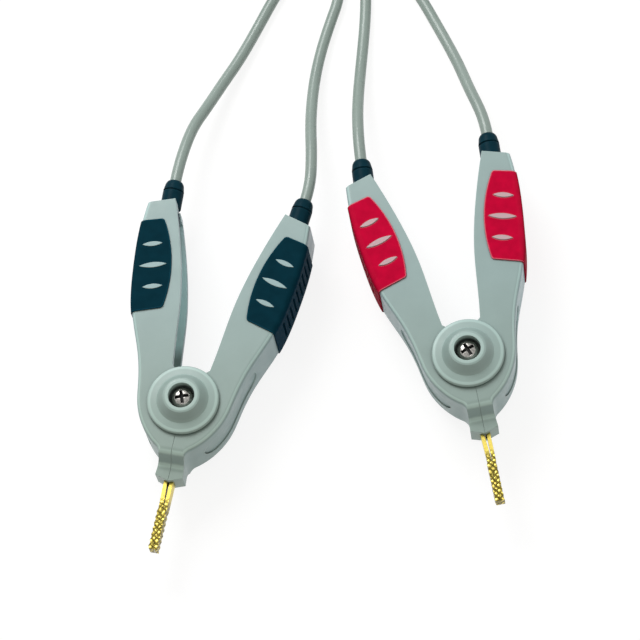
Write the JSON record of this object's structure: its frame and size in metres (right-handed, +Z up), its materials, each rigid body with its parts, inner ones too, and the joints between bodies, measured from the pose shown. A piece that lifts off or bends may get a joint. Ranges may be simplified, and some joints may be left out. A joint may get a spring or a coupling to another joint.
{
  "type": "kelvin clip",
  "caption": "Kelvin clips for four-wire measurement: sprung toothed jaws with insulated contacts, moulded levers with soft grips, and coaxial leads with bayonet plugs.",
  "frame": {"origin": "centre of the flat face of the black clip's back cap, on the clip's pivot axis, at the bench", "axes": "+Z up along the pivots and away from the bench, handles and cords towards +Y, jaws towards -Y, red clip towards +X"},
  "size_m": [0.1079, 0.3012, 0.0208],
  "materials": {
    "housing": "matte",
    "black_grip": "matte",
    "red_grip": "matte",
    "relief": "matte",
    "contact_gold": "polished gold plate",
    "steel": "nickel plated",
    "spring_steel": "bright",
    "insert_brass": "plain",
    "cord": "satin",
    "plug_nickel": "nickel plated",
    "plug_boot": "matte",
    "wire_jacket": "gloss"
  },
  "bodies": {
    "base": {"black_right_lever": "housing", "black_right_grip": "black_grip", "black_right_relief": "relief", "black_right_blade": "contact_gold", "black_right_wire": "wire_jacket", "red_left_lever": "housing", "red_left_grip": "red_grip", "red_left_relief": "relief", "red_left_blade": "contact_gold", "red_left_wire": "wire_jacket", "black_front_cap": "housing", "black_back_cap": "housing", "black_insert": "insert_brass", "black_bush": "steel", "black_screw": "steel", "black_spring": "spring_steel", "red_front_cap": "housing", "red_back_cap": "housing", "red_insert": "insert_brass", "red_bush": "steel", "red_screw": "steel", "red_spring": "spring_steel", "black_left_cord": "cord", "black_left_coil": "cord", "black_left_plug_body": "plug_nickel", "black_left_plug_boot": "plug_boot", "black_left_plug_pin": "contact_gold", "black_right_cord": "cord", "black_right_coil": "cord", "black_right_plug_body": "plug_nickel", "black_right_plug_boot": "plug_boot", "black_right_plug_pin": "contact_gold", "red_left_cord": "cord", "red_left_coil": "cord", "red_left_plug_body": "plug_nickel", "red_left_plug_boot": "plug_boot", "red_left_plug_pin": "contact_gold", "red_right_cord": "cord", "red_right_coil": "cord", "red_right_plug_body": "plug_nickel", "red_right_plug_boot": "plug_boot", "red_right_plug_pin": "contact_gold"},
    "black_lever": {"black_left_lever": "housing", "black_left_grip": "black_grip", "black_left_relief": "relief", "black_left_blade": "contact_gold", "black_left_wire": "wire_jacket"},
    "red_lever": {"red_right_lever": "housing", "red_right_grip": "red_grip", "red_right_relief": "relief", "red_right_blade": "contact_gold", "red_right_wire": "wire_jacket"},
    "black_left_collar": {"black_left_plug_collar": "plug_nickel"},
    "black_right_collar": {"black_right_plug_collar": "plug_nickel"},
    "red_left_collar": {"red_left_plug_collar": "plug_nickel"},
    "red_right_collar": {"red_right_plug_collar": "plug_nickel"}
  },
  "joints": [
    {"name": "black_clip_pivot", "type": "hinge", "parent": "base", "child": "black_lever", "pos_m": [0, 0, 0.0104], "axis": [0, 0, 1], "range_deg": [-24, 0], "stiffness_Nm_per_rad": 0.05, "springref_deg": 57.3, "deforming": ["black_spring", "black_left_cord"]},
    {"name": "red_clip_pivot", "type": "hinge", "parent": "base", "child": "red_lever", "pos_m": [0.07085, 0.0079, 0.0104], "axis": [0, 0, 1], "range_deg": [0, 24], "stiffness_Nm_per_rad": 0.05, "springref_deg": -57.3, "deforming": ["red_spring", "red_right_cord"]},
    {"name": "black_left_collar_turn", "type": "hinge", "parent": "base", "child": "black_left_collar", "pos_m": [-0.0013, 0.258, 0.0073], "axis": [0, 1, 0], "continuous": true},
    {"name": "black_right_collar_turn", "type": "hinge", "parent": "base", "child": "black_right_collar", "pos_m": [0.0345, 0.258, 0.0073], "axis": [0, 1, 0], "continuous": true},
    {"name": "red_left_collar_turn", "type": "hinge", "parent": "base", "child": "red_left_collar", "pos_m": [0.0509, 0.258, 0.0073], "axis": [0, 1, 0], "continuous": true},
    {"name": "red_right_collar_turn", "type": "hinge", "parent": "base", "child": "red_right_collar", "pos_m": [0.0867, 0.258, 0.0073], "axis": [0, 1, 0], "continuous": true}
  ]
}
